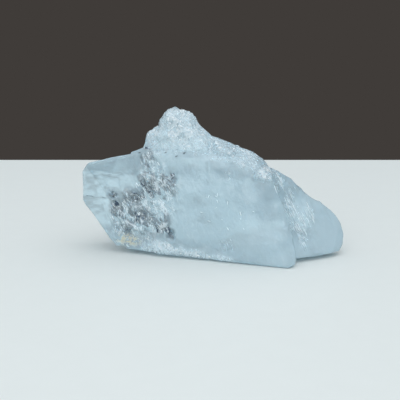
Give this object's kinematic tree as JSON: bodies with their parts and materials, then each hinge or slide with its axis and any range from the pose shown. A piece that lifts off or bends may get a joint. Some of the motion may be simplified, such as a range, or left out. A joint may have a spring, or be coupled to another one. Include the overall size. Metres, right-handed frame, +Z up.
{
  "type": "aquamarine crystal",
  "caption": "Rough broken piece of clear pale-blue beryl: a leaning slab with a sugary peak, a glassy blunt end and a long ridge falling to a rounded tip; it rests on its flat underside.",
  "frame": {"origin": "centre of the stone's bounding box in plan, on the flat underside it rests on", "axes": "+X along the stone's length, from the blunt end to the rounded tip; -Y out of the broad front face; +Z up"},
  "size_m": [0.056, 0.024, 0.0305],
  "materials": {
    "aquamarine_crystal": "natural broken crystal, glassy on the clear breaks and frosted on the ridge and peak"
  },
  "bodies": {
    "root": {"aquamarine_crystal": "aquamarine_crystal"}
  },
  "joints": []
}
